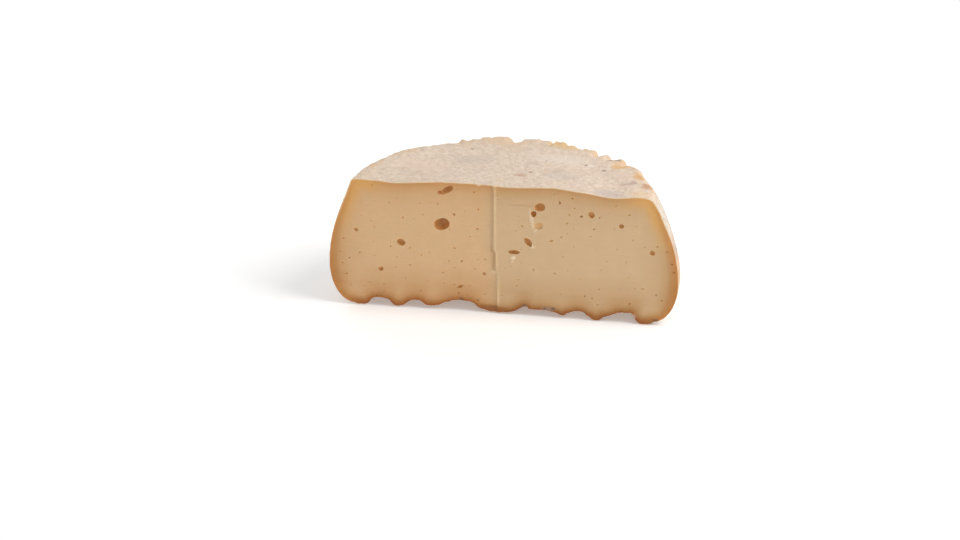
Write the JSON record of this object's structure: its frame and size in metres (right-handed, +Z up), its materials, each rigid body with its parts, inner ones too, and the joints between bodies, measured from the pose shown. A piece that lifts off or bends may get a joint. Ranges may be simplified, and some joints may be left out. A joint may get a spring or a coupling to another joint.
{
  "type": "half cheese wheel",
  "caption": "Half of a low pressed cheese wheel with a natural rind, sagging sides, a wrinkled underside and a flat knife-cut face with scattered eyes.",
  "frame": {"origin": "on the board, under the middle of the half wheel's box", "axes": "+X along the knife cut, +Y from the cut face into the cheese, +Z up"},
  "size_m": [0.2002, 0.1026, 0.0785],
  "materials": {
    "cheese": "pale ochre paste, slightly waxy where it is cut, darker towards the edge, under a dry pinkish-beige natural rind with grey and brown spots"
  },
  "bodies": {
    "root": {"half_wheel": "cheese"}
  },
  "joints": []
}
